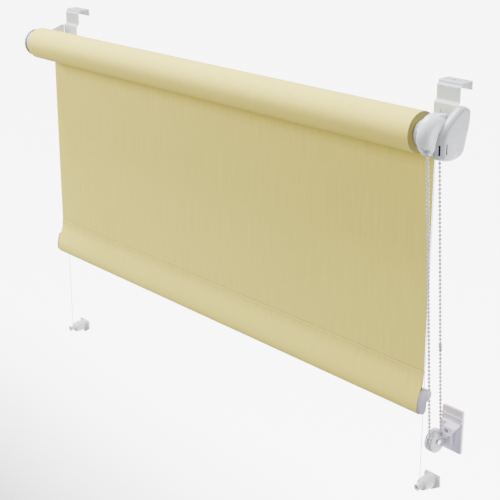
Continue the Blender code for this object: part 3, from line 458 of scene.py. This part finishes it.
def make_chain(looks):
    x, total, on_loop = chain_loop()
    shape = bmesh.new()
    count = round(total / BEAD_PITCH)
    for k in range(count):
        spot, along = on_loop(total * k / count)
        swing = math.atan2(along.y, along.x)
        place = Matrix.Translation((x, spot.x, spot.y)) @ Matrix.Rotation(swing, 4, "X")
        scale = Matrix.Diagonal((1, 1.06, 1, 1))
        pole_along_string = Matrix.Rotation(math.pi / 2, 4, "X")
        bmesh.ops.create_uvsphere(shape, u_segments=14, v_segments=8, radius=BEAD_D / 2,
                                  matrix=place @ scale @ pole_along_string)
    beads = place_mesh("chain_beads", shape, looks["bead"], "brackets", smooth=80)
    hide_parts("bead_chain")

    shape = bmesh.new()
    rings = []
    steps = count * 2
    for k in range(steps):
        spot, along = on_loop(total * k / steps)
        side = Vector((0, -along.y, along.x))
        middle = Vector((x, spot.x, spot.y))
        ring = []
        for n in range(8):
            turn = math.tau * n / 8
            out = Vector((math.cos(turn), 0, 0)) + side * math.sin(turn)
            ring.append(shape.verts.new(middle + out * STRING_D / 2))
        rings.append(ring)
    for k, ring in enumerate(rings):
        after = rings[(k + 1) % steps]
        for n in range(8):
            m = (n + 1) % 8
            shape.faces.new((ring[n], ring[m], after[m], after[n]))
    string = place_mesh("chain_string", shape, looks["bead"], "brackets", smooth=80)


# ---- fabric --------------------------------------------------------------------------------------
def roll_radius(turned):
    """Middle of the fabric at an angle wound in from where the sheet leaves, in radians."""
    meet = SHEET_Y - AXIS.y
    wound = ROLL_R - FABRIC_T / 2
    blend = min(turned / math.radians(130), 1.0)
    blend = blend * blend * (3 - 2 * blend)
    return meet + (wound - meet) * blend - LAYER_PITCH * max(turned - math.tau * 0.5, 0) / math.tau


def make_roll(looks):
    turns = (ROLL_R - ROLL_BORE - FABRIC_T) / LAYER_PITCH + 0.5
    per_turn = 56
    count = int(turns * per_turn)
    columns = (-1.0, -0.996, -0.5, 0.0, 0.5, 0.996, 1.0)
    shape = bmesh.new()
    uv = shape.loops.layers.uv.new("cloth")
    grid = []
    lengths = [0.0]
    for k in range(count + 1):
        angle = math.tau * k / per_turn
        radius = roll_radius(angle)
        if k:
            lengths.append(lengths[-1] + radius * math.tau / per_turn)
        row = []
        for layer in (1, -1):
            r = radius + layer * FABRIC_T / 2
            for share in columns:
                end = 0.00035 * noise.noise(Vector((angle * 0.9, share * 3, 7.1)))
                x = share * (HALF - 0.0004 + end)
                row.append(shape.verts.new((x, AXIS.y + r * math.cos(angle), AXIS.z + r * math.sin(angle))))
        grid.append(row)
    width = len(columns)

    def face(corners, spots, slot):
        made = shape.faces.new(corners)
        made.material_index = slot
        for loop, spot in zip(made.loops, spots):
            loop[uv].uv = spot

    for k in range(count):
        one, two = grid[k], grid[k + 1]
        for c in range(width - 1):
            corners = ((c, k), (c + 1, k), (c + 1, k + 1), (c, k + 1))
            spots = [(columns[n] * HALF, -lengths[m]) for n, m in corners]
            face((one[c], one[c + 1], two[c + 1], two[c]), spots, 0)
            inner = width + c
            face((one[inner + 1], one[inner], two[inner], two[inner + 1]),
                 [spots[1], spots[0], spots[3], spots[2]], 0)
        # edge and end faces of the roll take the darker cloth copy: painted shade
        for c in (0, width - 1):
            v0, v1 = lengths[k], lengths[k + 1]
            spots = [(0, v0), (FABRIC_T, v0), (FABRIC_T, v1), (0, v1)]
            face((one[c], one[width + c], two[width + c], two[c]), spots, 1)
    for row in (grid[0], grid[-1]):
        for c in range(width - 1):
            face((row[c], row[c + 1], row[width + c + 1], row[width + c]), [(0, 0)] * 4, 1)
    roll = place_mesh("wound_fabric", shape, [looks["cloth"], looks["cloth_edge_painted_shade"]], "roller", smooth=50)
    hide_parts("fabric_roll")


def strip_across(name, path, lengths, looks, body, columns, ripple=0.0):
    """Fabric whose (y, z) path runs across the whole width, made as a thin closed strip."""
    shape = bmesh.new()
    uv = shape.loops.layers.uv.new("cloth")
    faces_of = [offset_path(path, -FABRIC_T / 2), offset_path(path, FABRIC_T / 2)]
    grid = []
    for k in range(len(path)):
        row = []
        for side in faces_of:
            for c in range(columns + 1):
                x = HALF * (2 * c / columns - 1)
                fade = min(1.0, 4 * k / len(path), 4 * (len(path) - 1 - k) / len(path))
                wave = ripple * fade * noise.noise(Vector((x * 9, lengths[k] * 6, 3.3)))
                wander = 0.00012 * noise.noise(Vector((lengths[k] * 60, math.copysign(5, x), 1.7)))
                reach = wander if c in (0, columns) else 0.0
                row.append(shape.verts.new((x + reach, side[k].x + wave, side[k].y)))
        grid.append(row)
    width = columns + 1

    def face(corners, spots, slot):
        made = shape.faces.new(corners)
        made.material_index = slot
        for loop, spot in zip(made.loops, spots):
            loop[uv].uv = spot

    for k in range(len(path) - 1):
        one, two = grid[k], grid[k + 1]
        for c in range(columns):
            u0, u1 = (HALF * (2 * n / columns - 1) for n in (c, c + 1))
            spots = [(u0, lengths[k]), (u1, lengths[k]), (u1, lengths[k + 1]), (u0, lengths[k + 1])]
            face((one[c], one[c + 1], two[c + 1], two[c]), spots, 0)
            n = width + c
            face((one[n + 1], one[n], two[n], two[n + 1]), [spots[1], spots[0], spots[3], spots[2]], 0)
        # edge and end faces of the strip take the darker cloth copy: painted shade
        for c in (0, columns):
            v0, v1 = lengths[k], lengths[k + 1]
            spots = [(0, v0), (FABRIC_T, v0), (FABRIC_T, v1), (0, v1)]
            face((one[c], one[width + c], two[width + c], two[c]), spots, 1)
    for row in (grid[0], grid[-1]):
        for c in range(columns):
            face((row[c], row[c + 1], row[width + c + 1], row[width + c]), [(0, 0)] * 4, 1)
    return place_mesh(name, shape, [looks["cloth"], looks["cloth_edge_painted_shade"]], body, smooth=50)


def lengths_along(path, start=0.0):
    result = [start]
    for one, two in zip(path, path[1:]):
        result.append(result[-1] + (two - one).length)
    return result


def make_sheet(looks):
    rows = 26
    path = [Vector((SHEET_Y, AXIS.z + (SEAM_Z - AXIS.z) * k / rows)) for k in range(rows + 1)]
    lengths = lengths_along(path)
    sheet = strip_across("hanging_sheet", path, lengths, looks, None, 44, ripple=0.0003)
    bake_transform(sheet)
    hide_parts("fabric_sheet")


def hem_path():
    """Middle of the hem's fabric, from the seam down the front, round the rail and up the back."""
    drops = [
        (-0.0003, 0.0),
        (-0.0013, 0.22),
        (-0.0043, 0.44),
        (-0.0069, 0.64),
        (-0.0079, 0.80),
        (-0.0073, 0.92),
        (-0.0050, 0.98),
        (-0.0020, 0.993),
        (0.0007, 0.945),
        (0.0015, 0.80),
        (0.0005, 0.62),
        (-0.0015, 0.44),
        (-0.0006, 0.22),
        (0.0003, 0.0),
    ]
    return smooth_path([(SHEET_Y + y, SEAM_Z - GAP - z * HEM_HEIGHT) for y, z in drops], 5)


def make_hem(looks):
    path = hem_path()
    lengths = lengths_along(path, AXIS.z - SEAM_Z)
    hem = strip_across("hem", path, lengths, looks, "rail", 44)
    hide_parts("hem_pocket")
    stitches = make_stitches(looks)


def make_stitches(looks):
    """Row of lock stitches that closes the hem pocket, on its front and its back."""
    shape = bmesh.new()
    z = SEAM_Z - STITCH_DROP
    out = HEM_LAYER_Y + FABRIC_T * 0.75
    count = int(2 * HALF / STITCH_PITCH)
    for k in range(count):
        x = -HALF + STITCH_PITCH * (k + 0.5)
        for y in (SHEET_Y - out, SHEET_Y + out):
            lean = Matrix.Rotation(math.radians(4), 4, "Y")
            size = Matrix.Diagonal((STITCH_PITCH * 0.42, STITCH_D, STITCH_D, 1))
            bmesh.ops.create_icosphere(shape, subdivisions=1, radius=1.0,
                                       matrix=Matrix.Translation((x, y, z)) @ lean @ size)
    stitches = place_mesh("hem_stitches", shape, looks["thread"], "rail", smooth=80)
    return stitches


# ---- hard parts ----------------------------------------------------------------------------------
SOFTENED = {
    # node: (look, record slot, edge radius)
    "tube": ("tube", "tube", 0.0001),
    "left_hook": ("painted", "painted", 0.00022),
    "right_hook": ("painted", "painted", 0.00022),
    "clutch_housing": ("white", "white", 0.0003),
    "drive_plug": ("white", "white", 0.0002),
    "chain_sprocket": ("white", "white", 0.0002),
    "clutch_axle": ("white", "white", 0.0002),
    "idle_bracket": ("white", "white", 0.0003),
    "idle_cover": ("cover", "white", 0.0003),
    "idle_plug": ("white", "white", 0.0002),
    "idle_pin": ("steel", "steel", 0.0002),
    "bottom_rail": ("white", "white", 0.0001),
    "rail_cap_left": ("cap", "cap", 0.0003),
    "rail_cap_right": ("cap", "cap", 0.0003),
    "line_anchor_left": ("white", "white", 0.0002),
    "line_anchor_right": ("white", "white", 0.0002),
    "holder_plate": ("holder", "holder", 0.0),
    "holder_arm": ("holder", "holder", 0.0003),
    "pulley_housing": ("clear", "clear", 0.0002),
    "chain_pulley": ("white", "white", 0.0002),
    "pulley_axle": ("steel", "steel", 0.0002),
    "clip_base_left": ("white", "white", 0.0004),
    "clip_base_right": ("white", "white", 0.0004),
    "clip_knob_left": ("white", "white", 0.0002),
    "clip_knob_right": ("white", "white", 0.0002),
    "left_bracket_screw": ("steel", "steel", 0.0001),
    "right_bracket_screw": ("steel", "steel", 0.0001),
    "left_bracket_nut": ("steel", "steel", 0.0001),
    "right_bracket_nut": ("steel", "steel", 0.0001),
}
REMAPPED = {
    "wrap_spring": "steel",
    "tube_tape": "foam",
    "left_hook_pad": "foam",
    "right_hook_pad": "foam",
    "holder_pad": "foam",
    "clip_pad_left": "foam",
    "clip_pad_right": "foam",
}


def cover_outline():
    """Side view of the outer cover from the roller's axis, anticlockwise."""
    return [
        (-0.0040, -0.0182),
        (0.0020, -0.0208),
        (0.0130, -0.0230),
        (0.0240, -0.0208),
        (0.0290, -0.0170),
        (0.0315, -0.0100),
        (0.0338, 0.0010),
        (0.0352, 0.0150),
        (0.0320, 0.0195),
        (0.0235, 0.0212),
        (0.0160, 0.0170),
        (0.0100, 0.0127),
        (0.0040, 0.0080),
        (-0.0020, 0.0015),
        (-0.0048, -0.0060),
        (-0.0054, -0.0140),
    ]


def inset_ring(path, by, nose=0.0):
    """Closed anticlockwise path moved inwards by an amount, and its front edge back by the nose."""
    front = min(spot.x for spot in path)
    result = []
    for k, spot in enumerate(path):
        along = (path[(k + 1) % len(path)] - path[k - 1]).normalized()
        moved = spot + Vector((-along.y, along.x)) * by
        share = max(0.0, (front + COVER_NOSE_REACH - spot.x) / COVER_NOSE_REACH)
        result.append(Vector((moved.x + nose * share, moved.y)))
    return result


def cut_away(piece, shape):
    """Takes a bmesh's solid out of a piece for good."""
    mesh = bpy.data.meshes.new("cutter")
    shape.to_mesh(mesh)
    shape.free()
    cutter = bpy.data.objects.new("cutter", mesh)
    bpy.context.scene.collection.objects.link(cutter)
    step = piece.modifiers.new("cut", "BOOLEAN")
    step.solver = "MANIFOLD"
    step.object = cutter
    bpy.context.view_layer.update()
    cut = bpy.data.meshes.new_from_object(piece.evaluated_get(bpy.context.evaluated_depsgraph_get()))
    piece.modifiers.remove(step)
    piece.data = cut
    bpy.data.objects.remove(cutter)


def make_outer_cover(looks):
    """Cover of the clutch: rounded shell, face folded inwards below a crease, two finger grooves."""
    low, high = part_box("outer_cover")
    depth = high.x - low.x
    base = smooth_path(cover_outline(), 4, closed=True)
    profile = [
        # share of the depth, inset, set-back of the front edge
        (0.06, 0.0016, 0.0),
        (0.0, 0.0012, 0.0),
        (0.0, 0.0004, 0.0),
        (0.05, 0.0001, 0.0),
        (0.14, 0.0, 0.0),
        (0.34, 0.0, 0.0002),
        (0.52, 0.0002, 0.0012),
        (0.68, 0.0006, 0.0025),
        (0.82, 0.0012, 0.0036),
        (0.92, 0.0019, 0.0043),
        (0.98, 0.0028, 0.0048),
        (1.0, 0.0040, 0.0052),
    ]
    shape = bmesh.new()
    rows = []
    for share, inset, nose in profile:
        ring = inset_ring(base, inset, nose)
        rows.append([shape.verts.new((low.x + depth * share, AXIS.y + s.x, AXIS.z + s.y)) for s in ring])
    face = rows[-1]
    middle = sum((v.co for v in face), Vector()) / len(face)
    for share in (0.8, 0.6, 0.4, 0.2):
        rows.append([shape.verts.new(middle + (v.co - middle) * share) for v in face])
    count = len(base)
    for one, two in zip(rows, rows[1:]):
        for k in range(count):
            n = (k + 1) % count
            shape.faces.new((one[k], one[n], two[n], two[k]))
    shape.faces.new(rows[0][::-1])
    shape.faces.new(rows[-1])
    start, end = (Vector((0, AXIS.y + y, AXIS.z + z)) for y, z in COVER_CREASE)
    across = (end - start).normalized()
    down = Vector((0, across.z, -across.y))
    bmesh.ops.bisect_plane(shape, geom=shape.verts[:] + shape.edges[:] + shape.faces[:], dist=1e-6,
                           plane_co=start, plane_no=down)
    for vert in shape.verts:
        offset = (vert.co - start) * Vector((0, 1, 1))
        fall = offset.dot(down)
        if vert.co.x > low.x + 0.8 * depth and fall > 0:
            ease = min(1.0, max(0.0, offset.dot(across) / 0.010))
            vert.co.x -= min(0.0016, fall * 0.075 + 0.00018) * ease
    cover = place_mesh("outer_cover_look", shape, looks["cover"], "brackets", smooth=24)
    corners = [v.co for v in cover.data.vertices]
    tree = BVHTree.FromPolygons(corners, [p.vertices for p in cover.data.polygons])
    grooves = bmesh.new()
    middles = []
    for y in GROOVE_Y:
        spot = Vector((high.x + 0.01, AXIS.y + y, AXIS.z + GROOVE_Z))
        middles.append(tree.ray_cast(spot, Vector((-1, 0, 0)))[0] + Vector((0.0012, 0, 0)))
        size = Matrix.Diagonal((*GROOVE_SIZE, 1))
        bmesh.ops.create_cube(grooves, size=1, matrix=Matrix.Translation(middles[-1]) @ size)
    cut_away(cover, grooves)
    cover.data.materials.clear()
    cover.data.materials.append(looks["cover"])
    cover.data.materials.append(looks["slot"])
    # faces inside the grooves take the near-black look: painted shade
    for face in cover.data.polygons:
        offsets = [face.center - middle for middle in middles]
        inside = [all(abs(o[n]) < GROOVE_SIZE[n] / 2 + 0.00002 for n in range(3)) for o in offsets]
        face.material_index = 1 if any(inside) else 0
    cover.data.set_sharp_from_angle(angle=math.radians(24))
    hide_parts("outer_cover")


def make_idle_spring(looks):
    """Spring behind the idle pin, copied from its CAD node."""
    shape = bmesh.new()
    shape.from_mesh(frame["nodes"]["idle_spring"].data)
    spring = place_mesh("idle_spring_look", shape, looks["steel"], None, smooth=60)
    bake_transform(spring)
    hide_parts("idle_spring")


def make_connector(looks):
    """Clear sleeve that joins the chain's ends."""
    low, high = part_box("chain_connector")
    middle = (low + high) / 2
    top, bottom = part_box("chain_sprocket"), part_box("chain_pulley")
    along = ((top[0] + top[1]) / 2 - (bottom[0] + bottom[1]) / 2).normalized()
    turn = along.to_track_quat("Z", "Y").to_matrix().to_4x4()
    half, radius = SLEEVE_HALF, SLEEVE_R
    profile = [(-half, SLEEVE_BORE), (-half, radius - 0.0004), (-half + 0.0004, radius), (-0.0008, radius),
               (-0.0005, radius - 0.0003), (0.0005, radius - 0.0003), (0.0008, radius),
               (half - 0.0004, radius), (half, radius - 0.0004), (half, SLEEVE_BORE)]
    shape = bmesh.new()
    steps = 20
    rings = []
    for height, r in profile:
        spots = [(r * math.cos(math.tau * k / steps), r * math.sin(math.tau * k / steps), height)
                 for k in range(steps)]
        rings.append([shape.verts.new(spot) for spot in spots])
    for one, two in zip(rings, rings[1:] + rings[:1]):
        for k in range(steps):
            n = (k + 1) % steps
            shape.faces.new((one[k], one[n], two[n], two[k]))
    bmesh.ops.transform(shape, matrix=Matrix.Translation(middle) @ turn, verts=shape.verts)
    sleeve = place_mesh("chain_joint", shape, looks["clear"], "connector")
    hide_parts("chain_connector")


def main():
    make_camera()
    looks = make_looks()
    make_guide_lines(looks)
    make_chain(looks)
    make_studio()
    for node, (look, slot, radius) in SOFTENED.items():
        softened(node, looks[look], radius)
    for node, look in REMAPPED.items():
        mesh = frame["nodes"][node].data
        mesh.materials.clear()
        mesh.materials.append(looks[look])
    make_outer_cover(looks)
    make_idle_spring(looks)
    make_connector(looks)
    make_roll(looks)
    make_sheet(looks)
    make_hem(looks)


main()
